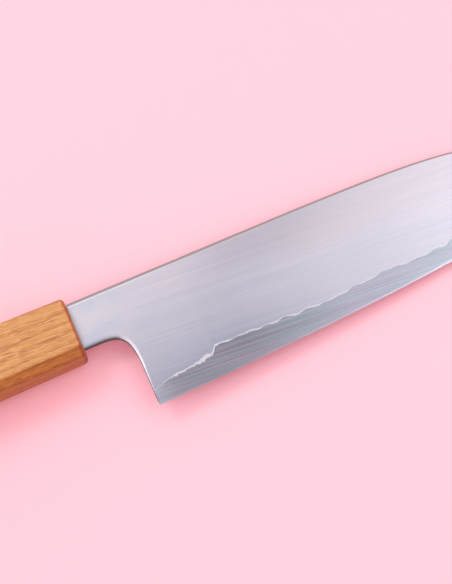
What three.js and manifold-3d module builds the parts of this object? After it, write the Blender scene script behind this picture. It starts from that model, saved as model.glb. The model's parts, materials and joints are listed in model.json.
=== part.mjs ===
// Santoku knife: a five-layer laminated blade with a stick tang, glued into an octagonal wooden handle.
// Millimetres, +Z up. The knife's own frame has x from the handle's face to the point, y up to the spine
// and z out of the right face, with y = z = 0 on the handle's axis. The finished knife is laid on its left
// side and leaned forward until its point meets the table.

import * as THREE from 'three';
import { mergeVertices } from 'three/addons/utils/BufferGeometryUtils.js';
import Module from 'manifold-3d';

// Blade, seen from the side
const BLADE_LENGTH = 168; // heel to point
const HEEL_HEIGHT = 46; // spine to edge at the heel
const NECK_LENGTH = 16.7; // handle's face to heel
const NECK_HEIGHT = 17.8;
const SPINE_RISE = 9.9; // spine above the handle's axis
const SPINE_STRAIGHT = 67.5; // straight run of the spine ahead of the heel
const POINT_DROP = 29; // point below the straight of the spine
const SPINE_EASE = 65; // reach of the spine's first, gentle bend
const SPINE_EASE_DROP = 0.6;
const NOSE_REACH = 31; // reach of the rounded nose, back from the point
const NOSE_ANGLE = 64; // degrees below level at the point
const EDGE_EASE = 128; // reach of the edge's flat stretch ahead of the heel
const EDGE_EASE_RISE = 4.3;
const BELLY_REACH = 25; // reach of the edge's upturn, back from the point
const BELLY_ANGLE = 16; // degrees above level at the point

// Notch between handle and heel
const NECK_FLAT = 6; // level run of the neck's underside
const NOTCH_DROP = 14.2; // height of the notch's curve
const NOTCH_SHARPNESS = 7.5; // reach of the curve's level start
const NOTCH_FALL = 12.5; // reach of the curve's upright end
const HEEL_LEAN = 0.15; // how far the back edge leans towards the point

// Blade, in section
const NECK_THICKNESS = 2.5;
const POINT_THICKNESS = 1.0;
const TAPER_POWER = 1.3; // the spine thins slowly at first
const GRIND_HEIGHT = 40; // the convex grind ends this far above the edge
const GRIND_RUNOUT = 32; // the grind fades out towards the neck over this length
const CONVEXITY = 1.35;
const BEVEL_HEIGHT = 0.6; // sharpened bevel at the edge
const BEVEL_THICKNESS = 0.3; // full thickness behind that bevel
const EDGE_ROUND = 1.1; // rounding of spine, neck and notch
const MOST_ROUND = 0.45; // share of the thickness that the rounding may take

// Layers
const NICKEL_THICKNESS = 0.024;
const LAYER_GAP = 0.006; // bonded faces are kept this far apart
const CLADDING_LINE = [ // distance ahead of the heel, height of the cladding's border above the edge
  [0, 5.9],
  [7, 7.3],
  [23.2, 8.4],
  [26.2, 11.1],
  [38, 10.3],
  [56, 9.1],
  [66, 8.1],
  [90, 8.5],
  [108, 6.8],
  [117, 7.1],
  [132, 5.6],
  [150, 5.4],
];

// Tang
const TANG_LENGTH = 88;
const TANG_ROOT = 10; // height where it enters the handle
const TANG_END = 6;

// Handle
const HANDLE_LENGTH = 132;
const FRONT_HEIGHT = 22.6;
const FRONT_WIDTH = 18.6;
const BUTT_HEIGHT = 27.2;
const BUTT_WIDTH = 21.4;
const FACET_RISE = 3.8; // corner facet at the front, measured up the handle
const FACET_RUN = 3.2; // and across it
const SIDE_EASE = 0.7; // softening of the long edges beside the broad flats
const CREST_EASE = 1.7; // and of those beside the flats towards spine and edge
const FRONT_ROUND = 1.7;
const BUTT_ROUND = 1.6;

// Glue bed
const GLUE_THICKNESS = 0.5;
const GLUE_END = 2; // glue past the tang's end
const SEAT_GAP = 0.1; // handle to neck, and glue to its neighbours

// Fineness of curved surfaces
const EDGE_STEPS = 24;
const GRIND_STEPS = 6;
const ROUND_STEPS = 4;
const EASE_STEPS = 2;
const CURVE_STEPS = 10;
const LAYER_STEP = 2.4;
const WELD = 1e-5;

const HEEL_X = NECK_LENGTH;
const POINT_X = HEEL_X + BLADE_LENGTH;
const SPINE_Y = SPINE_RISE;
const HEEL_Y = SPINE_Y - HEEL_HEIGHT;
const POINT_Y = SPINE_Y - POINT_DROP;
const NECK_Y = SPINE_Y - NECK_HEIGHT;
const CUT_MARGIN = 3; // tool bodies reach this far past what they cut

const radians = THREE.MathUtils.degToRad;

const wasm = await Module();
wasm.setup();

function solidOf(geometry) {
  const bare = geometry.clone();
  bare.deleteAttribute('normal');
  bare.deleteAttribute('uv');
  const welded = mergeVertices(bare, WELD);
  const mesh = new wasm.Mesh({
    numProp: 3,
    vertProperties: new Float32Array(welded.attributes.position.array),
    triVerts: new Uint32Array(welded.index.array),
  });
  return new wasm.Manifold(mesh);
}

function geometryOf(solid) {
  const mesh = solid.getMesh();
  const geometry = new THREE.BufferGeometry();
  geometry.setAttribute('position', new THREE.BufferAttribute(mesh.vertProperties, 3));
  geometry.setIndex(new THREE.BufferAttribute(mesh.triVerts, 1));
  geometry.computeVertexNormals();
  return geometry;
}

// Skin over sections that follow each other along +x; each runs from +y towards +z around the x axis
function loft(sections) {
  const count = sections[0].length;
  const points = sections.flat();
  const faces = [];
  for (let ring = 0; ring + 1 < sections.length; ring += 1) {
    for (let corner = 0; corner < count; corner += 1) {
      const a = ring * count + corner;
      const b = ring * count + (corner + 1) % count;
      faces.push(a, b, b + count, a, b + count, a + count);
    }
  }
  const last = (sections.length - 1) * count;
  const outline = sections[0].map((point) => new THREE.Vector2(point.y, point.z));
  for (const [a, b, c] of THREE.ShapeUtils.triangulateShape(outline, [])) {
    faces.push(a, c, b, last + a, last + b, last + c);
  }
  const geometry = new THREE.BufferGeometry().setFromPoints(points);
  geometry.setIndex(faces);
  return geometry;
}

function rectangle(x, yLow, yHigh, zLow, zHigh) {
  return [
    new THREE.Vector3(x, yHigh, zLow),
    new THREE.Vector3(x, yHigh, zHigh),
    new THREE.Vector3(x, yLow, zHigh),
    new THREE.Vector3(x, yLow, zLow),
  ];
}

// Blade

function spineCurve() {
  const start = new THREE.Vector2(HEEL_X + SPINE_STRAIGHT, SPINE_Y);
  const ease = new THREE.Vector2(start.x + SPINE_EASE, SPINE_Y - SPINE_EASE_DROP);
  const point = new THREE.Vector2(POINT_X, POINT_Y);
  const back = new THREE.Vector2(-Math.cos(radians(NOSE_ANGLE)), Math.sin(radians(NOSE_ANGLE)));
  const nose = point.clone().addScaledVector(back, NOSE_REACH);
  return new THREE.CubicBezierCurve(start, ease, nose, point);
}

function edgeCurve() {
  const heel = new THREE.Vector2(HEEL_X, HEEL_Y);
  const ease = new THREE.Vector2(HEEL_X + EDGE_EASE, HEEL_Y + EDGE_EASE_RISE);
  const point = new THREE.Vector2(POINT_X, POINT_Y);
  const back = new THREE.Vector2(-Math.cos(radians(BELLY_ANGLE)), -Math.sin(radians(BELLY_ANGLE)));
  const belly = point.clone().addScaledVector(back, BELLY_REACH);
  return new THREE.CubicBezierCurve(heel, ease, belly, point);
}

function spineThickness(x) {
  const along = THREE.MathUtils.clamp((x - HEEL_X) / BLADE_LENGTH, 0, 1);
  return NECK_THICKNESS + (POINT_THICKNESS - NECK_THICKNESS) * along ** TAPER_POWER;
}

function grindHeight(x) {
  const fade = THREE.MathUtils.smoothstep(x, 0, GRIND_RUNOUT);
  return THREE.MathUtils.lerp(HEEL_HEIGHT - NECK_HEIGHT, GRIND_HEIGHT, fade);
}

// Half the blade's thickness at a height above the edge
function halfThickness(x, height) {
  const behindBevel = BEVEL_THICKNESS / 2;
  if (height <= BEVEL_HEIGHT) {
    return behindBevel * height / BEVEL_HEIGHT;
  }
  const share = Math.min(1, (height - BEVEL_HEIGHT) / (grindHeight(x) - BEVEL_HEIGHT));
  const fullness = 1 - (1 - share) ** CONVEXITY;
  return behindBevel + (spineThickness(x) / 2 - behindBevel) * fullness;
}

function groundSection(x, edgeY) {
  const heights = [0];
  for (let step = 0; step <= GRIND_STEPS; step += 1) {
    heights.push(THREE.MathUtils.lerp(BEVEL_HEIGHT, grindHeight(x), step / GRIND_STEPS));
  }
  const top = Math.max(SPINE_Y + CUT_MARGIN, edgeY + grindHeight(x) + CUT_MARGIN);
  heights.push(top - edgeY);
  const face = (side) => heights.map((height) => {
    return new THREE.Vector3(x, edgeY + height, side * halfThickness(x, height));
  });
  return [...face(1).reverse(), ...face(-1).slice(1)];
}

// Bar ground to a convex wedge, past the tang behind and past the point in front
function groundBar() {
  const edge = edgeCurve();
  const sections = [groundSection(-TANG_LENGTH - CUT_MARGIN, HEEL_Y)];
  sections.push(groundSection(0, HEEL_Y));
  sections.push(groundSection(HEEL_X / 2, HEEL_Y));
  for (const point of edge.getPoints(EDGE_STEPS)) {
    sections.push(groundSection(point.x, point.y));
  }
  const ahead = edge.getPoint(1).addScaledVector(edge.getTangent(1), CUT_MARGIN);
  sections.push(groundSection(ahead.x, ahead.y));
  return loft(sections);
}

// Outline with rounded rims; it hangs below the edge, which the grind makes, and reaches into the handle
function roundedOutline() {
  const spine = spineCurve();
  const past = spine.getPoint(1).addScaledVector(spine.getTangent(1), CUT_MARGIN);
  const below = HEEL_Y - CUT_MARGIN;
  const notchX = HEEL_X - HEEL_LEAN;
  const notchY = NECK_Y - NOTCH_DROP;
  const lean = HEEL_LEAN / (notchY - HEEL_Y);
  const shape = new THREE.Shape();
  shape.moveTo(-CUT_MARGIN, NECK_Y);
  shape.lineTo(NECK_FLAT, NECK_Y);
  shape.bezierCurveTo(NECK_FLAT + NOTCH_SHARPNESS, NECK_Y, notchX, notchY + NOTCH_FALL, notchX, notchY);
  shape.lineTo(HEEL_X + lean * CUT_MARGIN, below);
  shape.lineTo(past.x, below);
  shape.lineTo(past.x, past.y);
  shape.lineTo(POINT_X, POINT_Y);
  shape.bezierCurveTo(spine.v2.x, spine.v2.y, spine.v1.x, spine.v1.y, spine.v0.x, spine.v0.y);
  shape.lineTo(-CUT_MARGIN, SPINE_Y);
  shape.closePath();
  const round = Math.min(EDGE_ROUND, MOST_ROUND * NECK_THICKNESS);
  const depth = NECK_THICKNESS - 2 * round + LAYER_GAP;
  const geometry = new THREE.ExtrudeGeometry(shape, {
    depth,
    bevelThickness: round,
    bevelSize: round,
    bevelOffset: -round,
    bevelSegments: ROUND_STEPS,
    curveSegments: CURVE_STEPS,
  });
  return geometry.translate(0, 0, -depth / 2);
}

// Stick tang behind square shoulders; it starts inside the neck
function tangBar() {
  return loft([
    rectangle(-TANG_LENGTH, -TANG_END / 2, TANG_END / 2, -NECK_THICKNESS, NECK_THICKNESS),
    rectangle(0, -TANG_ROOT / 2, TANG_ROOT / 2, -NECK_THICKNESS, NECK_THICKNESS),
    rectangle(NECK_FLAT, -TANG_ROOT / 2, TANG_ROOT / 2, -NECK_THICKNESS, NECK_THICKNESS),
  ]);
}

// Everything ahead of the handle's face
function aheadOfHandle() {
  const low = HEEL_Y - 2 * CUT_MARGIN;
  const high = SPINE_Y + 2 * CUT_MARGIN;
  const front = POINT_X + 2 * CUT_MARGIN;
  return loft([
    rectangle(SEAT_GAP, low, high, -NECK_THICKNESS, NECK_THICKNESS),
    rectangle(front, low, high, -NECK_THICKNESS, NECK_THICKNESS),
  ]);
}

function claddingLine(x) {
  const ahead = x - HEEL_X;
  const after = CLADDING_LINE.findIndex(([distance]) => distance >= ahead);
  if (after === 0) {
    return CLADDING_LINE[0][1];
  }
  if (after < 0) {
    return CLADDING_LINE.at(-1)[1];
  }
  const [startX, startHeight] = CLADDING_LINE[after - 1];
  const [endX, endHeight] = CLADDING_LINE[after];
  return THREE.MathUtils.lerp(startHeight, endHeight, THREE.MathUtils.smoothstep(ahead, startX, endX));
}

function halfCore(x) {
  return halfThickness(Math.max(x, HEEL_X), claddingLine(x)) - NICKEL_THICKNESS;
}

// Body between two heights over the blade's mid-plane that both follow the core's half thickness
function layer(low, high) {
  const bottom = HEEL_Y - 2 * CUT_MARGIN;
  const top = SPINE_Y + 2 * CUT_MARGIN;
  const stations = [-TANG_LENGTH - 2 * CUT_MARGIN];
  for (let x = HEEL_X - LAYER_STEP / 2; x < POINT_X + 2 * CUT_MARGIN; x += LAYER_STEP) {
    stations.push(x);
  }
  return loft(stations.map((x) => rectangle(x, bottom, top, low(halfCore(x)), high(halfCore(x)))));
}

function bladeLayers() {
  const outline = solidOf(roundedOutline()).intersect(solidOf(aheadOfHandle())).add(solidOf(tangBar()));
  const blade = outline.intersect(solidOf(groundBar()));
  const cut = (low, high) => geometryOf(blade.intersect(solidOf(layer(low, high))));
  const bond = LAYER_GAP / 2;
  const outside = NECK_THICKNESS;
  const nickelIn = (core) => core + bond;
  const nickelOut = (core) => core + NICKEL_THICKNESS - bond;
  const claddingIn = (core) => core + NICKEL_THICKNESS + bond;
  return {
    core_steel: cut((core) => bond - core, (core) => core - bond),
    nickel_right: cut(nickelIn, nickelOut),
    nickel_left: cut((core) => -nickelOut(core), (core) => -nickelIn(core)),
    cladding_right: cut(claddingIn, () => outside),
    cladding_left: cut(() => -outside, (core) => -claddingIn(core)),
  };
}

// Handle

// Octagon with softened corners, from +y towards +z
function octagon(x, height, width, scale) {
  const top = height / 2;
  const side = width / 2;
  const shoulder = top - FACET_RISE * scale;
  const flank = side - FACET_RUN * scale;
  const corners = [
    [top, -flank, CREST_EASE],
    [top, flank, CREST_EASE],
    [shoulder, side, SIDE_EASE],
    [-shoulder, side, SIDE_EASE],
    [-top, flank, CREST_EASE],
    [-top, -flank, CREST_EASE],
    [-shoulder, -side, SIDE_EASE],
    [shoulder, -side, SIDE_EASE],
  ].map(([y, z, ease]) => ({ place: new THREE.Vector3(x, y, z), ease }));
  return corners.flatMap(({ place, ease }, index) => {
    const before = corners.at(index - 1).place;
    const after = corners[(index + 1) % corners.length].place;
    const easeTowards = (next) => place.clone().addScaledVector(next.clone().sub(place).normalize(), ease);
    const curve = new THREE.QuadraticBezierCurve3(easeTowards(before), place, easeTowards(after));
    return curve.getPoints(EASE_STEPS);
  });
}

function handleSection(x, inset) {
  const along = -x / HANDLE_LENGTH;
  const height = THREE.MathUtils.lerp(FRONT_HEIGHT, BUTT_HEIGHT, along);
  const width = THREE.MathUtils.lerp(FRONT_WIDTH, BUTT_WIDTH, along);
  const section = octagon(x, height, width, height / FRONT_HEIGHT);
  const squeeze = new THREE.Vector3(1, 1 - 2 * inset / height, 1 - 2 * inset / width);
  return section.map((point) => point.multiply(squeeze));
}

// Sections of a rounded end, from its flat face inwards; inward is the direction along x
function roundedEnd(face, inward, round) {
  const sections = [];
  for (let step = ROUND_STEPS; step >= 0; step -= 1) {
    const turn = Math.PI / 2 * step / ROUND_STEPS;
    const x = face + inward * round * (1 - Math.sin(turn));
    sections.push(handleSection(x, round * (1 - Math.cos(turn))));
  }
  return sections;
}

function handleForm() {
  const butt = roundedEnd(-HANDLE_LENGTH, 1, BUTT_ROUND);
  const front = roundedEnd(0, -1, FRONT_ROUND);
  return loft([...butt, ...front.reverse()]);
}

// Tapered slot around the tang; grow is its clearance on every side, past its clearance at the far end
function tangSpace(grow, past, mouth) {
  const half = NECK_THICKNESS / 2 + grow;
  const slope = (TANG_ROOT - TANG_END) / 2 / TANG_LENGTH;
  const section = (x) => {
    const y = TANG_ROOT / 2 + slope * x + grow;
    return rectangle(x, -y, y, -half, half);
  };
  return solidOf(loft([section(-TANG_LENGTH - past), section(mouth)]));
}

function handleBody() {
  const slot = tangSpace(GLUE_THICKNESS + 2 * SEAT_GAP, GLUE_END + SEAT_GAP, CUT_MARGIN);
  return geometryOf(solidOf(handleForm()).subtract(slot));
}

function tangGlue() {
  const outside = tangSpace(GLUE_THICKNESS + SEAT_GAP, GLUE_END, 0);
  const inside = tangSpace(SEAT_GAP, SEAT_GAP, CUT_MARGIN);
  return geometryOf(outside.subtract(inside));
}

// Assembly

const steel = new THREE.MeshStandardMaterial({ color: 0xa9adb6, roughness: 0.38, metalness: 1 });
const nickel = new THREE.MeshStandardMaterial({ color: 0xe6e3e6, roughness: 0.3, metalness: 1 });
const stainless = new THREE.MeshStandardMaterial({ color: 0xcfcad2, roughness: 0.32, metalness: 1 });
const wood = new THREE.MeshStandardMaterial({ color: 0xd89a62, roughness: 0.6, metalness: 0 });
const epoxy = new THREE.MeshStandardMaterial({ color: 0x8c6a45, roughness: 0.4, metalness: 0 });

const layers = bladeLayers();
const pieces = [
  ['core_steel', layers.core_steel, steel],
  ['nickel_right', layers.nickel_right, nickel],
  ['nickel_left', layers.nickel_left, nickel],
  ['cladding_right', layers.cladding_right, stainless],
  ['cladding_left', layers.cladding_left, stainless],
  ['handle_body', handleBody(), wood],
  ['tang_adhesive', tangGlue(), epoxy],
];

const knife = new THREE.Group();
for (const [name, geometry, material] of pieces) {
  const mesh = new THREE.Mesh(geometry, material);
  mesh.name = name;
  knife.add(mesh);
}

// Angle by which the knife leans forward, from the handle's lower front edge to the first of the blade
function restAngle() {
  const along = FRONT_ROUND / HANDLE_LENGTH;
  const edgeX = -FRONT_ROUND;
  const edgeZ = -THREE.MathUtils.lerp(FRONT_WIDTH, BUTT_WIDTH, along) / 2;
  const point = new THREE.Vector3();
  let angle = Math.PI / 2;
  for (const geometry of [layers.core_steel, layers.cladding_left]) {
    const positions = geometry.attributes.position;
    for (let index = 0; index < positions.count; index += 1) {
      point.fromBufferAttribute(positions, index);
      if (point.x > HEEL_X) {
        angle = Math.min(angle, Math.atan2(point.z - edgeZ, point.x - edgeX));
      }
    }
  }
  return angle;
}

knife.rotation.y = restAngle();
const box = new THREE.Box3().setFromObject(knife, true);
const middle = box.getCenter(new THREE.Vector3());
knife.position.set(-middle.x, -middle.y, -box.min.z);

const santoku = new THREE.Group();
santoku.add(knife);

export default santoku;
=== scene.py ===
# Looks of the santoku knife: a laminated blade and an octagonal handle, with the floor, light and camera.
# The knife's own frame is in millimetres: x from the handle's face to the point, y up to the spine and
# z out of the right face, with y and z measured from the handle's axis.

import json
import math

import bmesh
import bpy
import numpy as np
from mathutils import Matrix, Vector

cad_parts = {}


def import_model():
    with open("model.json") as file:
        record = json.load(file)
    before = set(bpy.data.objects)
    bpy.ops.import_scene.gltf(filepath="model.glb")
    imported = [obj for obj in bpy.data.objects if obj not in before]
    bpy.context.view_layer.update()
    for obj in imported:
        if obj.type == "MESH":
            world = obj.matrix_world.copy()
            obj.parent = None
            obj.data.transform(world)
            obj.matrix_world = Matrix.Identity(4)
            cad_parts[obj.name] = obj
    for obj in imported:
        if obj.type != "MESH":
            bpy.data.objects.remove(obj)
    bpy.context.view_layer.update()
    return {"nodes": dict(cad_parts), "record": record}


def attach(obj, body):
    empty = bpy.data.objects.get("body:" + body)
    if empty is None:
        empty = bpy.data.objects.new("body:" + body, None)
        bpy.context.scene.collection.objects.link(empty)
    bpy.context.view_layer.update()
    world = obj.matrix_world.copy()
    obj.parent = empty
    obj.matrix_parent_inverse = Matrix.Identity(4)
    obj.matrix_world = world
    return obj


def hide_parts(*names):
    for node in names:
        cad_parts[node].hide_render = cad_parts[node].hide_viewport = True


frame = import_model()

MM = 0.001

# Blade, seen from the side
BLADE_LENGTH = 168.0
HEEL_HEIGHT = 46.0
NECK_LENGTH = 16.7
NECK_HEIGHT = 17.8
SPINE_RISE = 9.9
SPINE_STRAIGHT = 67.5
POINT_DROP = 29.0
SPINE_EASE = 65.0
SPINE_EASE_DROP = 0.6
NOSE_REACH = 31.0
NOSE_ANGLE = math.radians(64.0)
EDGE_EASE = 128.0
EDGE_EASE_RISE = 4.3
BELLY_REACH = 25.0
BELLY_ANGLE = math.radians(16.0)

# Notch between handle and heel
NECK_FLAT = 6.0
NOTCH_DROP = 14.2
NOTCH_SHARPNESS = 7.5
NOTCH_FALL = 12.5
HEEL_LEAN = 0.15

# Blade, in section
NECK_THICKNESS = 2.5
POINT_THICKNESS = 1.0
TAPER_POWER = 1.3
GRIND_HEIGHT = 40.0
GRIND_RUNOUT = 32.0
CONVEXITY = 1.35
BEVEL_HEIGHT = 0.6
BEVEL_THICKNESS = 0.3

# Eased rims: depth as a share of the half thickness, width for each depth, fullness, softness at the face
SPINE_RIM = {"depth": 0.72, "width": 1.5, "crown": 0.0, "ease": 0.04}
UNDER_RIM = {"depth": 0.45, "width": 2.8, "crown": 0.2, "ease": 0.15}

# Layers of the blade
SIDES = {"right": 1, "left": -1}
LAYER_GAP = 0.002

# Cladding's border: distance ahead of the heel, height above the edge
CLADDING_LINE = [
    (0, 5.9),
    (7, 7.3),
    (23.2, 8.4),
    (26.2, 11.1),
    (38, 10.3),
    (56, 9.1),
    (66, 8.1),
    (90, 8.5),
    (108, 6.8),
    (117, 7.1),
    (132, 5.6),
    (150, 5.4),
]

# Waves of the border and of the bright line's width, with the short ones calmer further from the heel
LINE_WAVES = np.geomspace(1.5, 14, 18)
LINE_JAGS = np.geomspace(0.9, 2.2, 14)
LINE_WOBBLE = 0.18
LINE_ROUGHNESS = 0.03
LINE_SEEDS = {"right": 1516, "left": 3}
WAVE_GROWTH = 0.9
CALM_START = (23.0, 31.0)
CALM_WAVES = 4.0
CALM_SHARE = 0.6

# Bright line: its width, its least width and how uneven it is
LINE_WIDTH = 0.48
LINE_LEAST = 0.15
LINE_UNEVEN = 0.4
LINE_BLOTS = 0.12
WIDTH_SEEDS = {"right": 41, "left": 39}

# Swells of the bright line: distance ahead of the heel, length, extra width
LINE_SWELLS = [
    (1.5, 5.0, -0.32),
    (9.8, 1.0, 0.4),
    (20.9, 2.9, 1.3),
    (40.0, 9.0, -0.12),
    (62.0, 1.4, 0.3),
    (97.0, 1.0, 0.25),
]
SWELL_RISE = 0.6

# Tang
TANG_LENGTH = 88.0
TANG_ROOT = 10.0
TANG_END = 6.0
SEAT_GAP = 0.1

# Handle
HANDLE_LENGTH = 132.0
FRONT_HEIGHT = 22.6
FRONT_WIDTH = 18.6
BUTT_HEIGHT = 27.2
BUTT_WIDTH = 21.4
FACET_RISE = 3.8
FACET_RUN = 3.2
SIDE_EASE = 0.7
CREST_EASE = 1.7
FRONT_ROUND = 1.7
FRONT_SIDE_ROUND = 1.0
BUTT_ROUND = 1.6
SLOT_CLEARANCE = 0.7
SLOT_END = 2.1

# Fineness of the meshes
CURVE_STEPS = 240
PROFILE_STEPS = 400
FACE_ROWS = 64
BAND_ROWS = 20
BAND_CROWDING = 1.6
LINE_ROWS = 5
RIM_ROWS = 22
RIM_REACH = 1.2
NECK_STATIONS = 12
NOTCH_STRIDE = 3
BLADE_STEP = 0.25
END_STEP = 0.07
END_ZONE = 2.0
STATION_DIGITS = 5
CORNER_STEPS = 6
ROUND_STEPS = 8
HANDLE_STEPS = 40
FLAT_HOLD = 0.25
MERGE_DISTANCE = 0.00001
SHARP_ANGLE = math.radians(28)

# Painted light and shade on the rims, and the choil's polish: where they fade, in shares of a rim's width
# painted dark reflection on the spine's rim
SPINE_REFLECTION_FADE = (0.94, 1.02)
# painted highlight line where the spine's rim meets the face
HIGHLIGHT_LINE_START = (0.66, 1.08)
HIGHLIGHT_LINE_END = (1.08, 1.32)
# the choil's polish, partly painted highlight
POLISH_HIGHLIGHT_FADE = (0.5, 1.25)
# painted shade on the neck's underside
UNDERSIDE_SHADE_FADE = (0.05, 0.85)

# Painted light and shade, polish and mottling of the blade: where they fade, in millimetres, and what is
# left of them further on
# the painted highlight line fades along the blade to what is left of it
HIGHLIGHT_LINE_FADE = (28.0, 50.0)
HIGHLIGHT_LINE_REST = 0.35
# the choil's polish, partly painted highlight, fades out near the heel's corner
POLISH_HIGHLIGHT_END = (-37.5, -34.0)
# where the painted shade on the neck's underside gives way to the choil's polish
UNDERSIDE_SHADE_END = (12.0, 15.0)
# painted shade line along the heel's back edge, and where it ends
UNDER_SHADE_LINE = (0.15, 0.45)
UNDER_SHADE_LINE_END = (-36.5, -34.0)
NECK_END = (9.0, 28.0)
# painted shade below the spine: where it starts, ends and how deep it reaches
SPINE_SHADE_START = (34.0, 68.0)
SPINE_SHADE_END = (78.0, 112.0)
SPINE_SHADE_REST = 0.35
SPINE_SHADE_DEPTH = (3.0, 22.0)
# towards the point: painted lighter reflection, a changed border shade and calmer streaks
FAR_FADE = (53.0, 92.0)
# the spine rim's painted reflection grows warmer along the blade
SPINE_REFLECTION_WARMS = (30.0, 110.0)
# painted shade on the steel at the joint with the handle
JOINT_SHADE = (0.05, 0.3)

# Colours of the finish, of the painted reflection and highlights, and of the painted shade
WHITE = (1, 1, 1, 1)
# painted dark reflection on the spine's rim, near the handle and further along
SPINE_PAINTED_REFLECTION = (0.43, 0.42, 0.405, 1)
SPINE_FAR_REFLECTION = (0.46, 0.42, 0.4, 1)
# painted shade, near black, on the neck's underside and along the heel's back edge
UNDERSIDE_PAINTED_SHADE = (0.085, 0.083, 0.086, 1)
# the choil's polish and the painted highlights
POLISH_AND_HIGHLIGHT_COLOUR = (0.82, 0.8, 0.84, 1)
NECK_WARM = (0.655, 0.63, 0.665, 1)
NECK_COOL = (0.56, 0.575, 0.665, 1)
NECK_SHARE = 0.75
# painted shade below the spine
SPINE_SHADE_TINT = (0.8, 0.805, 0.83, 1)
# painted shade at the joint
JOINT_SHADE_COLOUR = (0.48, 0.46, 0.47, 1)

# Steels: marks, the shade above the border (real haze and painted reflection) and its reach, clouds,
# painted far light, gloss
STAINLESS = {
    "pale": (0.692, 0.658, 0.702, 1),
    "dark": (0.596, 0.569, 0.617, 1),
    # border and far_border: a real bluish haze just above the layer's border, with painted reflection
    # darker towards the edge
    "border": (0.626, 0.67, 0.738, 1),
    "far_border": (0.855, 0.905, 0.95, 1),
    "fade": 30.0,
    "warm": (1.01, 0.995, 1.0, 1),
    "cool": (0.965, 0.98, 1.01, 1),
    "clouds": (0.02, 0.08, 0.08),
    # painted light, lighter towards the point
    "far": (1.085, 1.075, 1.046, 1),
    "roughness": 0.3,
    "relief": 0.002,
}
NICKEL = {
    "pale": (0.72, 0.685, 0.72, 1),
    "dark": (0.65, 0.62, 0.66, 1),
    "border": WHITE,
    "far_border": WHITE,
    "fade": 1.0,
    "warm": WHITE,
    "cool": WHITE,
    "clouds": (0.1, 0.1, 0.1),
    # painted tint towards the point, for how light falls there
    "far": (0.99, 0.985, 0.985, 1),
    "roughness": 0.4,
    "relief": 0.002,
}
CORE_STEEL = {
    "pale": (0.384, 0.377, 0.418, 1),
    "dark": (0.231, 0.223, 0.255, 1),
    # border and far_border: the honed bevel along the edge, brightened further by a painted highlight
    "border": (1.34, 1.36, 1.34, 1),
    "far_border": (1.42, 1.34, 1.31, 1),
    "fade": 0.9,
    "warm": (1.06, 0.97, 1.02, 1),
    "cool": (0.91, 1.005, 1.0, 1),
    "clouds": (0.025, 0.35, 0.2),
    # painted light, much lighter towards the point
    "far": (1.43, 1.56, 1.56, 1),
    "roughness": 0.28,
    "relief": 0.004,
}
BORDER_CURVE = 0.62

# Brush marks, clouds and mottling of the steels
BRUSH_MAP = "brush"
BRUSH_SKEW = 0.31
BRUSH_TURN = math.radians(4)
FINE_PATTERN = {"per_mm": (0.02, 5.0, 1.0), "turn": BRUSH_TURN}
MIDDLE_PATTERN = {"per_mm": (0.03, 1.8, 0.5), "turn": BRUSH_TURN, "offset": 3.0}
BROAD_PATTERN = {"per_mm": (0.008, 0.4, 0.2), "turn": BRUSH_TURN, "offset": 7.0}
CLOUD_PATTERN = {"turn": BRUSH_TURN, "detail": 2.0, "offset": 19.0}
NECK_PATTERN = {"per_mm": (0.1, 0.16, 0.16), "offset": 31.0}
FINE_SHARE = 0.4
MIDDLE_SHARE = 0.4
BROAD_SHARE = 0.2
STREAK_RANGE = (0.38, 0.62)
STREAK_MIDDLE = 0.5
STREAK_CONTRAST = (1.0, 0.55)
CLOUD_RANGE = (0.36, 0.64)
NECK_RANGE = (0.4, 0.62)
GLOSS_RANGE = (0.3, 0.7)
GLOSS_CHANGE = 0.03
BRUSHED_GLOSS = 0.6
BRUSHED_GLOSS_TURN = 0.25

# Grain of the wood
GRAIN_TURN = math.radians(4.2)
RING_WIDTH = 3.4
RING_DRIFT = 2.2
RING_LEAN = 0.45
RING_PATTERN = {"per_mm": (0.012, 0.05, 0.05), "turn": GRAIN_TURN, "detail": 2.0, "offset": 5.0}
FIBRE_PATTERN = {"per_mm": (0.03, 2.2, 2.2), "turn": GRAIN_TURN, "detail": 4.0}
FLECK_PATTERN = {"per_mm": (0.3, 1.8, 1.8), "turn": GRAIN_TURN, "detail": 2.0, "offset": 23.0}
PORE_PATTERN = {"per_mm": (0.18, 4.2, 4.2), "turn": GRAIN_TURN, "detail": 1.0, "offset": 11.0}
EARLY_RANGE = (0.0, 0.4)
FIBRE_RANGE = (0.3, 0.7)
FLECK_RANGE = (0.52, 0.66)
FLECK_SHARE = 0.5
PORE_RANGE = (0.58, 0.69)
PORE_CROWDING = 0.1
PORE_SHARE = 0.9
PORE_DEPTH = 2.0
WOOD_RELIEF = 0.008
WOOD_RELIEF_STRENGTH = 0.5
WOOD_ROUGHNESS = (0.55, 0.42)

# Colours of the wood, the tints of its end grain, of its eased front edge with painted shade, painted
# light on its top and painted shade below
WOOD_LATE = (0.745, 0.352, 0.116, 1)
WOOD_EARLY = (0.6, 0.245, 0.07, 1)
WOOD_FIBRE = (0.75, 0.67, 0.57, 1)
WOOD_FLECK = (0.86, 0.46, 0.2, 1)
WOOD_PORE = (0.36, 0.12, 0.035, 1)
WOOD_END = (0.68, 0.5, 0.36, 1)
# end grain on the front's eased edge, darkened further by painted shade
WOOD_EASED_GRAIN_AND_SHADE = (0.77, 0.375, 0.145, 1)
# painted light: a tint on the upward facets for how light falls on them
WOOD_PAINTED_LIGHT_TOP = (0.94, 1.04, 1.05, 1)
# painted shade on the downward facets
WOOD_PAINTED_SHADE_UNDER = (0.765, 0.55, 0.28, 1)

# Where those tints set in, by how far the wood faces along an axis
FACES_FRONT = (0.85, 0.99)
FACES_FORWARD = (-0.05, 0.05)
FACES_ENDWISE = (0.06, 0.6)
FACES_UP = (0.2, 0.6)
FACES_DOWN = (-0.6, -0.2)

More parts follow.
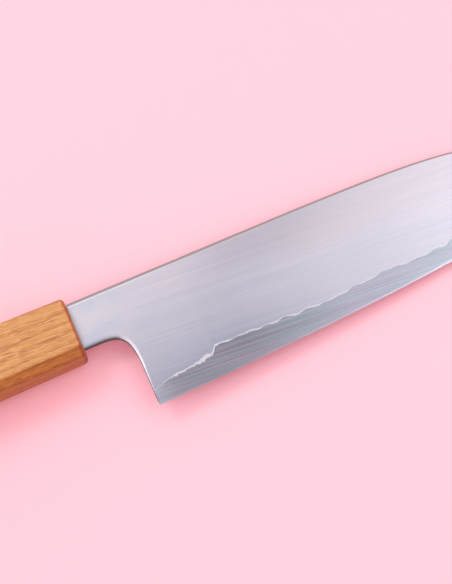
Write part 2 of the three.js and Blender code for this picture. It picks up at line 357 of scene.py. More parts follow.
# Glue
GLUE_PATTERN = {"per_mm": (0.4, 0.6, 0.6)}
GLUE_DARK = (0.10, 0.055, 0.025, 1)
GLUE_PALE = (0.22, 0.13, 0.06, 1)
GLUE_ROUGHNESS = 0.35

# Floor, in metres
FLOOR_HALF = 4.0
FLOOR_LEVEL = -0.0002
FLOOR_ROUGHNESS = 0.9
FLOOR_BOUNCE = (0.95, 0.42, 0.48, 1)
FLOOR_SEEN = (0.95, 0.575, 0.635, 1)
FLOOR_GLOW = (0.17, 0.015, 0.02, 1)

# Sky
SKY_TOWARD = (0.0, 0.4, 1.0)
SKY_RANGE = (-0.2, 0.95)
SKY_DIM = (0.55, 0.44, 0.46, 1)
SKY_BRIGHT = (0.95, 0.92, 0.97, 1)
BACKDROP = (1.0, 0.8, 0.85, 1)

# Lamps, in metres and watts
LAMPS = {
    "key_softbox": {
        "place": (-0.38, 0.82, 1.2),
        "target": (0.03, 0, 0),
        "size": (0.5, 0.45),
        "power": 4.5,
        "colour": (1.0, 0.98, 0.97),
    },
    "right_softbox": {
        "place": (0.97, -0.2, 1.0),
        "target": (0.97, -0.2, 0),
        "size": (1.2, 0.9),
        "power": 4.0,
        "colour": (1.0, 0.97, 0.99),
    },
    "left_softbox": {
        "place": (-1.05, 0.3, 0.75),
        "target": (0, 0, 0),
        "size": (0.8, 0.8),
        "power": 3.0,
        "colour": (1.0, 0.97, 0.99),
    },
}

# Camera, fitted to the photograph's view
LOOK_AT = (53.5, -8.2, 0.0)
CAMERA_DISTANCE = 577.1
CAMERA_ALONG = math.radians(-4.0)
CAMERA_ACROSS = math.radians(13.2)
CAMERA_SPIN = math.radians(22.86)
FOCAL_PIXELS = 1646.0
PICTURE_HEIGHT = 584.0
SENSOR = 36.0
NEAREST_SEEN = 10.0

# Sockets of the mix node: factor and two colours in, one colour out
MIX_SOCKETS = (0, 6, 7)
MIX_RESULT = 2

# Places that follow from the sizes
HEEL_X = NECK_LENGTH
POINT_X = HEEL_X + BLADE_LENGTH
SPINE_Y = SPINE_RISE
HEEL_Y = SPINE_Y - HEEL_HEIGHT
POINT_Y = SPINE_Y - POINT_DROP
NECK_Y = SPINE_Y - NECK_HEIGHT
TANG_STATIONS = ((-TANG_LENGTH, TANG_END), (0, TANG_ROOT), (SEAT_GAP, TANG_ROOT))


# The knife's place in the frame, from the handle's butt

def knife_pose():
    mounts = {mount["name"]: mount for mount in frame["record"]["mounts"]}
    along = -Vector(mounts["handle_butt"]["axis"])
    upward = Vector((0, 1, 0))
    outward = along.cross(upward)
    origin = Vector(mounts["handle_butt"]["pos_m"]) + along * HANDLE_LENGTH * MM
    turn = Matrix((along, upward, outward)).transposed().to_4x4()
    return Matrix.Translation(origin) @ turn


KNIFE = knife_pose()


# Blade outline

def cubic(start, first, second, end, steps):
    share = np.linspace(0, 1, steps + 1)[:, None]
    rest = 1 - share
    weights = (rest**3, 3 * share * rest**2, 3 * share**2 * rest, share**3)
    corners = (start, first, second, end)
    return sum(weight * np.array(corner, float) for weight, corner in zip(weights, corners))


def spine_line():
    start = (HEEL_X + SPINE_STRAIGHT, SPINE_Y)
    ease = (start[0] + SPINE_EASE, SPINE_Y - SPINE_EASE_DROP)
    nose = (POINT_X - NOSE_REACH * math.cos(NOSE_ANGLE), POINT_Y + NOSE_REACH * math.sin(NOSE_ANGLE))
    bend = cubic(start, ease, nose, (POINT_X, POINT_Y), CURVE_STEPS)
    return np.vstack([[(-TANG_LENGTH, SPINE_Y)], bend])


def edge_line():
    ease = (HEEL_X + EDGE_EASE, HEEL_Y + EDGE_EASE_RISE)
    belly = (POINT_X - BELLY_REACH * math.cos(BELLY_ANGLE), POINT_Y - BELLY_REACH * math.sin(BELLY_ANGLE))
    return cubic((HEEL_X, HEEL_Y), ease, belly, (POINT_X, POINT_Y), CURVE_STEPS)


def under_line():
    notch_x = HEEL_X - HEEL_LEAN
    notch_y = NECK_Y - NOTCH_DROP
    notch = cubic(
        (NECK_FLAT, NECK_Y),
        (NECK_FLAT + NOTCH_SHARPNESS, NECK_Y),
        (notch_x, notch_y + NOTCH_FALL),
        (notch_x, notch_y),
        CURVE_STEPS,
    )
    return np.vstack([[(-TANG_LENGTH, NECK_Y)], notch, [(HEEL_X, HEEL_Y)]])


SPINE = spine_line()
EDGE = edge_line()
UNDER = under_line()


def spine_y(x):
    return np.interp(x, SPINE[:, 0], SPINE[:, 1])


def edge_y(x):
    return np.interp(x, EDGE[:, 0], EDGE[:, 1])


def lowest_y(x):
    return np.where(x < HEEL_X, np.interp(x, UNDER[:, 0], UNDER[:, 1]), edge_y(x))


# Blade section

def smooth_step(value, low, high):
    share = np.clip((value - low) / (high - low), 0, 1)
    return share * share * (3 - 2 * share)


def ground_half(x, y):
    """Half the thickness that the grind leaves, without the eased rims."""
    height = y - edge_y(x)
    along = np.clip((x - HEEL_X) / BLADE_LENGTH, 0, 1)
    spine = NECK_THICKNESS + (POINT_THICKNESS - NECK_THICKNESS) * along**TAPER_POWER
    fade = smooth_step(x, 0, GRIND_RUNOUT)
    top = HEEL_HEIGHT - NECK_HEIGHT + (GRIND_HEIGHT - HEEL_HEIGHT + NECK_HEIGHT) * fade
    share = np.clip((height - BEVEL_HEIGHT) / (top - BEVEL_HEIGHT), 0, 1)
    fullness = 1 - (1 - share)**CONVEXITY
    behind_bevel = BEVEL_THICKNESS / 2
    bevel = behind_bevel * np.clip(height / BEVEL_HEIGHT, 0, 1)
    return bevel + (spine / 2 - behind_bevel) * fullness


def distance_to_spine(x, y):
    slope = np.gradient(SPINE[:, 1], SPINE[:, 0])
    steepness = np.interp(x, SPINE[:, 0], slope)
    return (spine_y(x) - y) / np.sqrt(1 + steepness**2)


def distance_to_under(x, y):
    """Distance to the neck's underside and the heel's back edge; far away once past the heel."""
    distance = np.full(x.shape, HEEL_HEIGHT)
    near = x < HEEL_X + END_ZONE
    point = np.stack([x[near], y[near]], -1)[:, None, :]
    start = UNDER[:-1]
    step = np.diff(UNDER, axis=0)
    share = ((point - start) * step).sum(-1) / (step**2).sum(-1)
    foot = start + np.clip(share, 0, 1)[..., None] * step
    distance[near] = np.linalg.norm(point - foot, axis=-1).min(-1)
    return distance


def rim_width(ground, rim):
    return np.maximum(ground * rim["depth"] * rim["width"], LAYER_GAP)


def rim_cut(distance, ground, rim):
    """What an eased rim takes off the half thickness at a distance from the outline."""
    share = np.maximum(distance, 0) / rim_width(ground, rim)
    slope = share + rim["crown"] * share * (1 - np.minimum(share, 1))
    meeting = np.clip(0.5 + (1 - slope) / (2 * rim["ease"]), 0, 1)
    return ground * rim["depth"] * meeting * (1 - slope + rim["ease"] * (1 - meeting))


def repeated(x, y):
    """Each station's x, once for each of the heights y over it."""
    return np.repeat(x[:, None], y.shape[1], 1)


def half_thickness(x, y):
    """Half the thickness at rows of heights y over the stations x."""
    x = repeated(x, y)
    ground = ground_half(x, y)
    spine = rim_cut(distance_to_spine(x, y), ground, SPINE_RIM)
    under = rim_cut(distance_to_under(x, y), ground, UNDER_RIM)
    return ground - np.maximum(spine, under)


# Where the layers come to the surface

def wobble(x, lengths, seed):
    """Uneven line of about unit height with waves of these lengths, the same on every run."""
    draw = np.random.default_rng(seed)
    strength = lengths**WAVE_GROWTH
    strength = strength / np.sqrt((strength**2).sum() / 2)
    phase = draw.uniform(0, 2 * math.pi, len(lengths))
    waves = np.sin(2 * math.pi * x[:, None] / lengths + phase)
    calm = smooth_step(x[:, None] - HEEL_X, *CALM_START) * (lengths < CALM_WAVES)
    return (waves * strength * (1 - CALM_SHARE * calm)).sum(1)


def swell(x):
    ahead = x - HEEL_X
    return sum(extra * np.exp(-((ahead - place) / length)**2) for place, length, extra in LINE_SWELLS)


def cladding_height(x, side):
    distance, height = np.array(CLADDING_LINE, float).T
    ahead = np.clip(x - HEEL_X, distance[0], distance[-1])
    after = np.clip(np.searchsorted(distance, ahead), 1, len(distance) - 1)
    share = smooth_step(ahead, distance[after - 1], distance[after])
    line = height[after - 1] + (height[after] - height[after - 1]) * share
    waves = LINE_WOBBLE * wobble(x, LINE_WAVES, LINE_SEEDS[side])
    jags = LINE_ROUGHNESS * wobble(x, LINE_JAGS, LINE_SEEDS[side])
    return line + waves + jags + SWELL_RISE * swell(x)


def line_width(x, side):
    waves = LINE_UNEVEN * wobble(x, LINE_WAVES, WIDTH_SEEDS[side])
    blots = LINE_BLOTS * wobble(x, LINE_JAGS, WIDTH_SEEDS[side])
    return np.maximum(LINE_WIDTH * (1 + waves + blots) + swell(x), LINE_LEAST)


def layer_levels(x, side):
    """Distance from the mid-plane of the cladding's and of the core's face, at each station."""
    station = np.maximum(x, HEEL_X)
    border = cladding_height(station, side)
    edge = edge_y(station)
    outer = ground_half(station, edge + border)
    inner = ground_half(station, edge + border - line_width(station, side))
    return outer, inner


# Lofted meshes

def spread(low, high, share):
    return low[:, None] + (high - low)[:, None] * share


def both_ends(count):
    """Shares from 0 to 1, closer together towards both ends."""
    return (1 - np.cos(np.linspace(0, math.pi, count))) / 2


def reach(x, level):
    """Lowest and highest y where the half thickness is at least that level, and whether there are any."""
    y = spread(lowest_y(x), spine_y(x), both_ends(PROFILE_STEPS))
    thick = half_thickness(x, y)
    inside = thick >= level[:, None]
    first = np.argmax(inside, 1)
    last = PROFILE_STEPS - 1 - np.argmax(inside[:, ::-1], 1)
    row = np.arange(len(x))

    def crossing(inner, outer):
        gain = thick[row, inner] - thick[row, outer]
        share = np.where(gain > 0, (level - thick[row, outer]) / np.where(gain > 0, gain, 1), 1)
        return y[row, outer] + (y[row, inner] - y[row, outer]) * np.clip(share, 0, 1)

    low = crossing(first, np.maximum(first - 1, 0))
    high = crossing(last, np.minimum(last + 1, PROFILE_STEPS - 1))
    return low, high, inside.any(1)


def stations():
    """Places along the blade for its sections, closer together at the notch, the heel and the point."""
    neck = np.linspace(SEAT_GAP, NECK_FLAT, NECK_STATIONS)
    notch = UNDER[1:-1:NOTCH_STRIDE, 0]
    heel = np.arange(HEEL_X - HEEL_LEAN, HEEL_X + END_ZONE, END_STEP)
    blade = np.arange(HEEL_X + END_ZONE, POINT_X - END_ZONE, BLADE_STEP)
    tip = np.arange(POINT_X - END_ZONE, POINT_X - END_STEP / 2, END_STEP)
    return np.unique(np.concatenate([neck, notch, heel, blade, tip]).round(STATION_DIGITS))


def add_tang(rings):
    """Sections of the stick tang put before a layer's own, its first one narrowed to the tang."""
    front = rings[0]
    tang = []
    for x, height in TANG_STATIONS:
        ring = front.copy()
        ring[:, 0] = x
        ring[:, 1] = np.clip(ring[:, 1], -height / 2, height / 2)
        tang.append(ring)
    return np.concatenate([tang, rings])


def new_object(name, data):
    piece = bpy.data.objects.new(name, data)
    bpy.context.scene.collection.objects.link(piece)
    return piece


def loft(name, rings, material, **shading):
    """Closed mesh over rings of points, with values for the shader at each point."""
    count, size = rings.shape[:2]
    corner = np.arange(count * size).reshape(count, size)
    after = np.roll(corner, -1, 1)
    quads = np.stack([corner[:-1], after[:-1], after[1:], corner[1:]], -1).reshape(-1, 4)
    caps = [corner[0][::-1].tolist(), corner[-1].tolist()]
    mesh = bpy.data.meshes.new(name)
    mesh.from_pydata((rings.reshape(-1, 3) * MM).tolist(), [], quads.tolist() + caps)
    for title, values in shading.items():
        mesh.attributes.new(title, "FLOAT", "POINT").data.foreach_set("value", values.ravel())
    work = bmesh.new()
    work.from_mesh(mesh)
    bmesh.ops.remove_doubles(work, verts=work.verts, dist=MERGE_DISTANCE * MM)
    bmesh.ops.recalc_face_normals(work, faces=work.faces)
    brush = work.loops.layers.uv.new(BRUSH_MAP)
    for face in work.faces:
        face.smooth = True
        for loop in face.loops:
            x, y, z = loop.vert.co
            loop[brush].uv = (x, y + BRUSH_SKEW * z)
    work.to_mesh(mesh)
    work.free()
    mesh.set_sharp_from_angle(angle=SHARP_ANGLE)
    mesh.materials.append(material)
    piece = new_object(name, mesh)
    piece.matrix_world = KNIFE
    return piece


# Finish of the blade and its painted light and shade, worked out for each point of a layer

def painted_highlight_line(x, spine):
    """Share of the painted highlight line where the spine's rim meets the face, weaker towards the point.
    """
    line = smooth_step(spine, *HIGHLIGHT_LINE_START) * (1 - smooth_step(spine, *HIGHLIGHT_LINE_END))
    return line * (1 - (1 - HIGHLIGHT_LINE_REST) * smooth_step(x, *HIGHLIGHT_LINE_FADE))


def spine_shade_share(x, y):
    """Share of the painted shade below the spine, strongest about half way along the blade."""
    along = smooth_step(x, *SPINE_SHADE_START) * (1 - (1 - SPINE_SHADE_REST) * smooth_step(x, *SPINE_SHADE_END))
    return along * (1 - smooth_step(distance_to_spine(x, y), *SPINE_SHADE_DEPTH))


def finish_at(x, y, border):
    """How far each point is above the layer's border, and its shares of each finish and of each painted
    reflection, highlight and shade.
    """
    ground = ground_half(x, y)
    spine = distance_to_spine(x, y) / rim_width(ground, SPINE_RIM)
    under = distance_to_under(x, y)
    eased = under / rim_width(ground, UNDER_RIM)
    heel = smooth_step(x, *UNDERSIDE_SHADE_END)
    # painted shade line along the heel's back edge
    line = (1 - smooth_step(under, *UNDER_SHADE_LINE)) * smooth_step(y, *UNDER_SHADE_LINE_END)
    # the choil's polish, painted brighter as a highlight
    polish_and_highlight = (1 - smooth_step(eased, *POLISH_HIGHLIGHT_FADE)) * heel * smooth_step(y, *POLISH_HIGHLIGHT_END)
    return {
        "rise": y - border[:, None],
        # rim: painted dark reflection on the spine's rim
        "rim": 1 - smooth_step(spine, *SPINE_REFLECTION_FADE),
        # painted shade on the neck's underside and along the heel's back edge
        "under": np.maximum((1 - smooth_step(eased, *UNDERSIDE_SHADE_FADE)) * (1 - heel), line),
        # polish on the choil, partly painted highlight, and the painted highlight line below the spine's
        # rim
        "polish_and_highlight": np.maximum(polish_and_highlight, painted_highlight_line(x, spine)),
        "neck": 1 - smooth_step(x, *NECK_END),
        # painted shade below the spine
        "spine_shade": spine_shade_share(x, y),
    }


# Blade layers

def blade_piece(name, x, y, z, border, material):
    """Layer of the blade with its tang, from the heights y and the distances z over its stations x."""
    x = repeated(x, y)
    tang = np.zeros((len(TANG_STATIONS), y.shape[1]))
    finish = finish_at(x, y, border).items()
    shading = {title: np.concatenate([tang, values]) for title, values in finish}
    return loft(name, add_tang(np.stack([x, y, z], -1)), material, **shading)


def cladding_border(x, side):
    station = np.maximum(x, HEEL_X)
    return edge_y(station) + cladding_height(station, side)


def cladding(side, material):
    x = stations()
    level = layer_levels(x, side)[0] + LAYER_GAP / 2
    low, high, there = reach(x, level)
    x, level, low, high = x[there], level[there], low[there], high[there]
    rim = rim_width(ground_half(x, high), SPINE_RIM) * RIM_REACH
    crest = high - np.minimum(rim, (high - low) / 2)
    face_rows = spread(low, crest, both_ends(FACE_ROWS))
    rim_rows = spread(crest, high, np.linspace(0, 1, RIM_ROWS)[1:])
    y = np.concatenate([low[:, None], face_rows, rim_rows, high[:, None]], 1)
    z = np.maximum(half_thickness(x, y), level[:, None])
    z[:, [0, -1]] = level[:, None]
    border = cladding_border(x, side)
    return blade_piece("blade_cladding_" + side, x, y, SIDES[side] * z, border, material)


def nickel(side, material):
    x = stations()
    outer, inner = layer_levels(x, side)
    top = outer - LAYER_GAP / 2
    base = inner + LAYER_GAP / 2
    low, high, there = reach(x, base)
    low_top, high_top, thick = reach(x, top)
    low_top = np.where(thick, low_top, (low + high) / 2)
    high_top = np.where(thick, high_top, (low + high) / 2)
    share = np.linspace(0, 1, LINE_ROWS)
    y = np.concatenate([spread(low, low_top, share), spread(high_top, high, share)], 1)[there]
    x, top, base = x[there], top[there], base[there]
    z = np.clip(half_thickness(x, y), base[:, None], top[:, None])
    z[:, [0, -1]] = base[:, None]
    border = cladding_border(x, side)
    return blade_piece("blade_nickel_" + side, x, y, SIDES[side] * z, border, material)


def core(material):
    """Core, with its right face's rows up to the spine and its left face's rows back down."""
    x = stations()
    heights = []
    distances = []
    for side, sign in SIDES.items():
        level = layer_levels(x, side)[1] - LAYER_GAP / 2
        low, high, thick = reach(x, level)
        middle = (lowest_y(x) + spine_y(x)) / 2
        low = np.where(thick, low, middle)
        high = np.where(thick, high, middle)
        band = np.linspace(0, 1, BAND_ROWS)**BAND_CROWDING
        rim = np.linspace(0, 1, RIM_ROWS)
        y = np.concatenate([spread(lowest_y(x), low, band), spread(high, spine_y(x), rim)], 1)
        z = sign * np.minimum(half_thickness(x, y), level[:, None])
        heights.append(y[:, ::sign])
        distances.append(z[:, ::sign])
    y = np.concatenate(heights, 1)
    z = np.concatenate(distances, 1)
    return blade_piece("blade_core", x, y, z, edge_y(x), material)


# Handle

def octagon(height, width, scale):
    """Points around the handle's section, with rounded corners."""
    top = height / 2
    side = width / 2
    shoulder = top - FACET_RISE * scale
    flank = side - FACET_RUN * scale
    corners = np.array([
        (top, -flank),
        (top, flank),
        (shoulder, side),
        (-shoulder, side),
        (-top, flank),
        (-top, -flank),
        (-shoulder, -side),
        (shoulder, -side),
    ])
    points = []
    for index, corner in enumerate(corners):
        ease = CREST_EASE if abs(corner[0]) == top else SIDE_EASE
        before = corners[index - 1] - corner
        after = corners[(index + 1) % len(corners)] - corner
        before = before / np.linalg.norm(before)
        after = after / np.linalg.norm(after)
        start = corner + before * ease
        end = corner + after * ease
        points.append([start + before * FLAT_HOLD])
        points.append(cubic(start, (start + 2 * corner) / 3, (end + 2 * corner) / 3, end, CORNER_STEPS))
        points.append([end + after * FLAT_HOLD])
    return np.concatenate(points)


def rounding(depth, radius):
    """What a rounded end takes off the outline at a depth below its flat face."""
    return radius - math.sqrt(radius**2 - max(radius - depth, 0)**2)


def handle_section(x, inset, side_inset):
    along = -x / HANDLE_LENGTH
    height = FRONT_HEIGHT + (BUTT_HEIGHT - FRONT_HEIGHT) * along
    width = FRONT_WIDTH + (BUTT_WIDTH - FRONT_WIDTH) * along
    points = octagon(height, width, height / FRONT_HEIGHT)
    points = points * (1 - 2 * inset / height, 1 - 2 * side_inset / width)
    return np.column_stack([np.full(len(points), x), points])


def slot_section(x, outline):
    """The tang's slot, with as many points as the handle's outline, each towards the same side."""
    slope = (TANG_ROOT - TANG_END) / 2 / TANG_LENGTH
    half_height = TANG_ROOT / 2 + slope * min(x, 0) + SLOT_CLEARANCE
    half_width = NECK_THICKNESS / 2 + SLOT_CLEARANCE
    direction = outline[:, 1:] / np.array([FRONT_HEIGHT, FRONT_WIDTH])
    points = direction / np.abs(direction).max(1)[:, None] * (half_height, half_width)
    return np.column_stack([np.full(len(points), x), points])


def handle(material):
    """Handle from its butt to its front, and on into the tang's slot."""
    turns = np.linspace(0, math.pi / 2, ROUND_STEPS + 1)
    butt = BUTT_ROUND + FLAT_HOLD
    rings = [handle_section(-HANDLE_LENGTH, butt, butt)]
    for turn in turns[::-1]:
        depth = BUTT_ROUND * (1 - math.sin(turn))
        inset = rounding(depth, BUTT_ROUND)
        rings.append(handle_section(depth - HANDLE_LENGTH, inset, inset))
    first = BUTT_ROUND - HANDLE_LENGTH + FLAT_HOLD
    for x in np.linspace(first, -FRONT_ROUND - FLAT_HOLD, HANDLE_STEPS):
        rings.append(handle_section(x, 0, 0))
    for turn in turns:
        depth = FRONT_ROUND * (1 - math.sin(turn))
        side_inset = rounding(depth, FRONT_SIDE_ROUND)
        rings.append(handle_section(-depth, rounding(depth, FRONT_ROUND), side_inset))
    rings.append(handle_section(0, FRONT_ROUND + FLAT_HOLD, FRONT_SIDE_ROUND + FLAT_HOLD))
    outline = rings[-1]
    for x in (0, -TANG_LENGTH - SLOT_END):
        rings.append(slot_section(x, outline))
    return loft("handle_wood", np.array(rings), material)


# Nodes of the materials

def add_node(tree, kind, inputs=None, **settings):
    node = tree.nodes.new(kind)
    for name, value in settings.items():
        setattr(node, name, value)
    for key, value in (inputs or {}).items():
        if isinstance(value, bpy.types.NodeSocket):
            tree.links.new(value, node.inputs[key])
        else:
            node.inputs[key].default_value = value
    return node


def new_material(name):
    material = bpy.data.materials.new(name)
    material.use_nodes = True
    material.node_tree.nodes.clear()
    return material


def finish_material(material, shader):
    tree = material.node_tree
    output = tree.nodes.new("ShaderNodeOutputMaterial")
    tree.links.new(shader.outputs["BSDF"], output.inputs["Surface"])


def calculate(tree, operation, *values):
    return add_node(tree, "ShaderNodeMath", dict(enumerate(values)), operation=operation).outputs[0]


def mix_colour(tree, factor, first, second, blend="MIX"):
    inputs = dict(zip(MIX_SOCKETS, (factor, first, second)))
    node = add_node(tree, "ShaderNodeMix", inputs, data_type="RGBA", blend_type=blend)
    return node.outputs[MIX_RESULT]


def tint(tree, colour, share, low, high):
    """The colour times a tint that goes from low to high with the share."""
    return mix_colour(tree, 1.0, colour, mix_colour(tree, share, low, high), "MULTIPLY")


def ramp(tree, value, low, high, bottom=0.0, top=1.0):
    node = add_node(
        tree,
        "ShaderNodeMapRange",
        {"Value": value, "From Min": low, "From Max": high, "To Min": bottom, "To Max": top},
        clamp=True,
    )
    return node.outputs[0]


def between(tree, along, span):
    """Share of the way through a span of the knife's length."""
    return ramp(tree, along, span[0] * MM, span[1] * MM)


def at_points(tree, name):
    return add_node(tree, "ShaderNodeAttribute", attribute_name=name).outputs["Fac"]


def stretched_noise(tree, per_mm, turn=0.0, detail=3.0, offset=0.0):
    """Noise in the knife's own frame, with so many features a millimetre along x, y and z."""
    place = add_node(tree, "ShaderNodeTexCoord").outputs["Object"]
    turned = add_node(
        tree,
        "ShaderNodeVectorRotate",
        {"Vector": place, "Angle": turn},
        rotation_type="Z_AXIS",
    )
    mapped = add_node(
        tree,
        "ShaderNodeMapping",
        {"Vector": turned.outputs[0], "Scale": Vector(per_mm) / MM, "Location": (offset, offset, offset)},
    )
    noise = add_node(
        tree,
        "ShaderNodeTexNoise",
        {"Vector": mapped.outputs[0], "Scale": 1.0, "Detail": detail},
        noise_dimensions="3D",
    )
    return noise.outputs["Fac"]


# Steel

def brush_marks(tree):
    """Fine, middle and broad marks together, and the fine ones alone for the relief."""
    fine = stretched_noise(tree, **FINE_PATTERN)
    middle = stretched_noise(tree, **MIDDLE_PATTERN)
    broad = stretched_noise(tree, **BROAD_PATTERN)
    marks = calculate(tree, "MULTIPLY", fine, FINE_SHARE)
    marks = calculate(tree, "MULTIPLY_ADD", middle, MIDDLE_SHARE, marks)
    return calculate(tree, "MULTIPLY_ADD", broad, BROAD_SHARE, marks), fine


def face_colour(tree, look, along, marks):
    """Streaks, warm and cool clouds, a mottled neck, a shade that fades out above the layer's border,
    partly real and partly painted, painted light towards the point, and painted shade below the spine."""
    towards_point = between(tree, along, FAR_FADE)
    contrast = ramp(tree, towards_point, 0.0, 1.0, *STREAK_CONTRAST)
    streak = calculate(tree, "SUBTRACT", ramp(tree, marks, *STREAK_RANGE), STREAK_MIDDLE)
    streak = calculate(tree, "MULTIPLY_ADD", streak, contrast, STREAK_MIDDLE)
    colour = mix_colour(tree, streak, look["dark"], look["pale"])
    cloud = stretched_noise(tree, look["clouds"], **CLOUD_PATTERN)
    colour = tint(tree, colour, ramp(tree, cloud, *CLOUD_RANGE), look["warm"], look["cool"])
    mottle = ramp(tree, stretched_noise(tree, **NECK_PATTERN), *NECK_RANGE)
    neck = calculate(tree, "MULTIPLY", at_points(tree, "neck"), NECK_SHARE)
    colour = mix_colour(tree, neck, colour, mix_colour(tree, mottle, NECK_WARM, NECK_COOL))
    # above the border: a real haze with painted reflection on the cladding, a honed bevel with a painted
    # highlight on the core
    above = ramp(tree, at_points(tree, "rise"), 0.0, look["fade"])
    above = calculate(tree, "POWER", above, BORDER_CURVE)
    border = mix_colour(tree, towards_point, look["border"], look["far_border"])
    colour = tint(tree, colour, above, border, WHITE)
    # painted light towards the point
    colour = tint(tree, colour, towards_point, WHITE, look["far"])
    # painted shade below the spine
    return tint(tree, colour, at_points(tree, "spine_shade"), WHITE, SPINE_SHADE_TINT)


def rim_colour(tree, face, along):
    """The face's colour, with the spine's rim in painted reflection, polish, painted highlights, and
    painted shade under and at the joint.
    """
    # painted dark reflection on the spine's rim, warmer further along
    spine = mix_colour(tree, between(tree, along, SPINE_REFLECTION_WARMS), SPINE_PAINTED_REFLECTION, SPINE_FAR_REFLECTION)
    colour = mix_colour(tree, at_points(tree, "rim"), face, spine)
    # the choil's polish and the painted highlights
    colour = mix_colour(tree, at_points(tree, "polish_and_highlight"), colour, POLISH_AND_HIGHLIGHT_COLOUR)
    # painted shade underneath
    colour = mix_colour(tree, at_points(tree, "under"), colour, UNDERSIDE_PAINTED_SHADE)
    # painted shade on the steel where it meets the handle
    return mix_colour(tree, between(tree, along, JOINT_SHADE), JOINT_SHADE_COLOUR, colour)


def steel(name, look):
    """Steel brushed along the blade, with its gloss drawn out across the marks."""
    material = new_material(name)
    tree = material.node_tree
    place = add_node(tree, "ShaderNodeTexCoord").outputs["Object"]
    along = add_node(tree, "ShaderNodeSeparateXYZ", {0: place}).outputs[0]
    marks, fine = brush_marks(tree)
    colour = rim_colour(tree, face_colour(tree, look, along, marks), along)
    rough = look["roughness"] + GLOSS_CHANGE
    glossy = look["roughness"] - GLOSS_CHANGE
    relief = add_node(
        tree,
        "ShaderNodeBump",
        {"Strength": 1.0, "Distance": look["relief"] * MM, "Height": fine},
    )
    tangent = add_node(tree, "ShaderNodeTangent", direction_type="UV_MAP", uv_map=BRUSH_MAP)
    shader = add_node(
        tree,
        "ShaderNodeBsdfPrincipled",
        {
            "Base Color": colour,
            "Metallic": 1.0,
            "Roughness": ramp(tree, marks, *GLOSS_RANGE, rough, glossy),
            "Anisotropic": BRUSHED_GLOSS,
            "Anisotropic Rotation": BRUSHED_GLOSS_TURN,
            "Normal": relief.outputs[0],
            "Tangent": tangent.outputs[0],
        },
    )
    finish_material(material, shader)
    return material


# Wood

def early_wood(tree, place):
    """Share of the dark, porous wood with which each growth ring begins."""
    drift = stretched_noise(tree, **RING_PATTERN)
    across = calculate(tree, "ADD", place[1], calculate(tree, "MULTIPLY", place[2], RING_LEAN))
    across = calculate(tree, "DIVIDE", across, RING_WIDTH * MM)
    phase = calculate(tree, "FRACT", calculate(tree, "MULTIPLY_ADD", drift, RING_DRIFT, across))
    return ramp(tree, phase, *EARLY_RANGE, 1.0, 0.0)


def side_tints(tree, colour, facing):
    """The wood's colour, tinted on its end grain, with painted shade on its eased front edge and
    underside and painted light on its top.
    """
    # the front's eased edge: end grain with painted shade
    front_grain_and_shade = mix_colour(tree, ramp(tree, facing[0], *FACES_FRONT), WOOD_EASED_GRAIN_AND_SHADE, WOOD_END)
    ends_grain_and_shade = mix_colour(tree, ramp(tree, facing[0], *FACES_FORWARD), WOOD_END, front_grain_and_shade)
    endwise = calculate(tree, "ABSOLUTE", facing[0])
    colour = tint(tree, colour, ramp(tree, endwise, *FACES_ENDWISE), WHITE, ends_grain_and_shade)
    # painted shade on the downward facets
    colour = tint(tree, colour, ramp(tree, facing[1], *FACES_DOWN), WOOD_PAINTED_SHADE_UNDER, WHITE)
    # painted light on the upward facets
    return tint(tree, colour, ramp(tree, facing[1], *FACES_UP), WHITE, WOOD_PAINTED_LIGHT_TOP)


def wood():
    """Ring-porous wood: growth rings with rows of pores, fibres and flecks."""
    material = new_material("handle_wood")
    tree = material.node_tree
    coordinates = add_node(tree, "ShaderNodeTexCoord").outputs
    place = add_node(tree, "ShaderNodeSeparateXYZ", {0: coordinates["Object"]}).outputs
    facing = add_node(tree, "ShaderNodeSeparateXYZ", {0: coordinates["Normal"]}).outputs
    early = early_wood(tree, place)
    fibre = stretched_noise(tree, **FIBRE_PATTERN)
    fleck = stretched_noise(tree, **FLECK_PATTERN)
    pore = calculate(tree, "MULTIPLY_ADD", early, PORE_CROWDING, stretched_noise(tree, **PORE_PATTERN))
    hole = ramp(tree, pore, *PORE_RANGE, 0.0, PORE_SHARE)
    colour = mix_colour(tree, early, WOOD_LATE, WOOD_EARLY)
    colour = tint(tree, colour, ramp(tree, fibre, *FIBRE_RANGE), WOOD_FIBRE, WHITE)
    colour = mix_colour(tree, ramp(tree, fleck, *FLECK_RANGE, 0.0, FLECK_SHARE), colour, WOOD_FLECK)
    colour = mix_colour(tree, hole, colour, WOOD_PORE)
    height = calculate(tree, "SUBTRACT", fibre, calculate(tree, "MULTIPLY", hole, PORE_DEPTH))
    relief = add_node(
        tree,
        "ShaderNodeBump",
        {"Strength": WOOD_RELIEF_STRENGTH, "Distance": WOOD_RELIEF * MM, "Height": height},
    )
    shader = add_node(
        tree,
        "ShaderNodeBsdfPrincipled",
        {
            "Base Color": side_tints(tree, colour, facing),
            "Roughness": ramp(tree, fibre, *FIBRE_RANGE, *WOOD_ROUGHNESS),
            "Normal": relief.outputs[0],
        },
    )
    finish_material(material, shader)
    return material


# Glue

def glue():
    material = new_material("tang_glue")
    tree = material.node_tree
    colour = mix_colour(tree, stretched_noise(tree, **GLUE_PATTERN), GLUE_DARK, GLUE_PALE)
    shader = add_node(
        tree,
        "ShaderNodeBsdfPrincipled",
        {"Base Color": colour, "Roughness": GLUE_ROUGHNESS},
    )
    finish_material(material, shader)
    return material


# Floor, light and camera

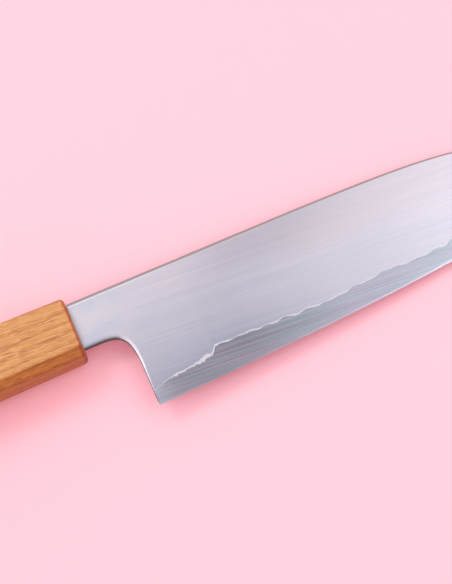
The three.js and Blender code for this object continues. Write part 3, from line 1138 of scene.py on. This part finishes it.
def floor():
    """Plain pale floor. What the camera sees of it keeps its colour in the shadows."""
    material = new_material("floor")
    tree = material.node_tree
    path = add_node(tree, "ShaderNodeLightPath").outputs
    seen = calculate(tree, "MAXIMUM", path["Is Camera Ray"], path["Is Glossy Ray"])
    shader = add_node(
        tree,
        "ShaderNodeBsdfPrincipled",
        {
            "Base Color": mix_colour(tree, seen, FLOOR_BOUNCE, FLOOR_SEEN),
            "Roughness": FLOOR_ROUGHNESS,
            "Specular IOR Level": 0.0,
            "Emission Color": FLOOR_GLOW,
            "Emission Strength": seen,
        },
    )
    finish_material(material, shader)
    corners = [(-1, -1), (1, -1), (1, 1), (-1, 1)]
    points = [(x * FLOOR_HALF, y * FLOOR_HALF, FLOOR_LEVEL) for x, y in corners]
    mesh = bpy.data.meshes.new("floor")
    mesh.from_pydata(points, [], [(0, 1, 2, 3)])
    mesh.materials.append(material)
    piece = new_object("floor", mesh)


def world():
    """Soft sky, brightest above the spine's side and dim on the edge's side."""
    made = bpy.data.worlds.new("studio")
    made.use_nodes = True
    tree = made.node_tree
    tree.nodes.clear()
    direction = add_node(tree, "ShaderNodeTexCoord").outputs["Generated"]
    toward = add_node(
        tree,
        "ShaderNodeVectorMath",
        {0: direction, 1: Vector(SKY_TOWARD).normalized()},
        operation="DOT_PRODUCT",
    )
    light = mix_colour(tree, ramp(tree, toward.outputs["Value"], *SKY_RANGE), SKY_DIM, SKY_BRIGHT)
    shown = add_node(tree, "ShaderNodeLightPath").outputs["Is Camera Ray"]
    light = mix_colour(tree, shown, light, BACKDROP)
    background = add_node(tree, "ShaderNodeBackground", {"Color": light, "Strength": 1.0})
    output = tree.nodes.new("ShaderNodeOutputWorld")
    tree.links.new(background.outputs[0], output.inputs[0])
    bpy.context.scene.world = made


def lamp(name, place, target, size, power, colour):
    data = bpy.data.lights.new(name, "AREA")
    data.shape = "RECTANGLE"
    data.size, data.size_y = size
    data.energy = power
    data.color = colour
    piece = new_object(name, data)
    piece.location = place
    piece.rotation_euler = (Vector(target) - Vector(place)).to_track_quat("-Z", "Y").to_euler()


def camera():
    toward = Vector((math.tan(CAMERA_ALONG), -math.tan(CAMERA_ACROSS), 1)).normalized()
    level = Vector((1, 0, 0))
    level = (level - toward * level.dot(toward)).normalized()
    upright = toward.cross(level)
    right = level * math.cos(CAMERA_SPIN) - upright * math.sin(CAMERA_SPIN)
    up = level * math.sin(CAMERA_SPIN) + upright * math.cos(CAMERA_SPIN)
    place = (Vector(LOOK_AT) + toward * CAMERA_DISTANCE) * MM
    turn = Matrix((right, up, toward)).transposed().to_4x4()
    data = bpy.data.cameras.new("camera")
    data.sensor_width = SENSOR
    data.lens = SENSOR * FOCAL_PIXELS / PICTURE_HEIGHT
    data.clip_start = NEAREST_SEEN * MM
    piece = new_object("camera", data)
    piece.matrix_world = KNIFE @ Matrix.Translation(place) @ turn
    bpy.context.scene.camera = piece


# The whole scene

def dress(piece, node):
    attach(piece, "root")
    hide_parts(node)


camera()
stainless = steel("stainless_cladding", STAINLESS)
bright = steel("nickel", NICKEL)
core_steel = steel("core_steel", CORE_STEEL)
for side_name in SIDES:
    dress(cladding(side_name, stainless), "cladding_" + side_name)
    dress(nickel(side_name, bright), "nickel_" + side_name)
dress(core(core_steel), "core_steel")
dress(handle(wood()), "handle_body")
adhesive = frame["nodes"]["tang_adhesive"]
adhesive.data.materials.clear()
adhesive.data.materials.append(glue())
floor()
world()
for lamp_name, settings in LAMPS.items():
    lamp(lamp_name, **settings)
bpy.context.scene.view_settings.view_transform = "Standard"
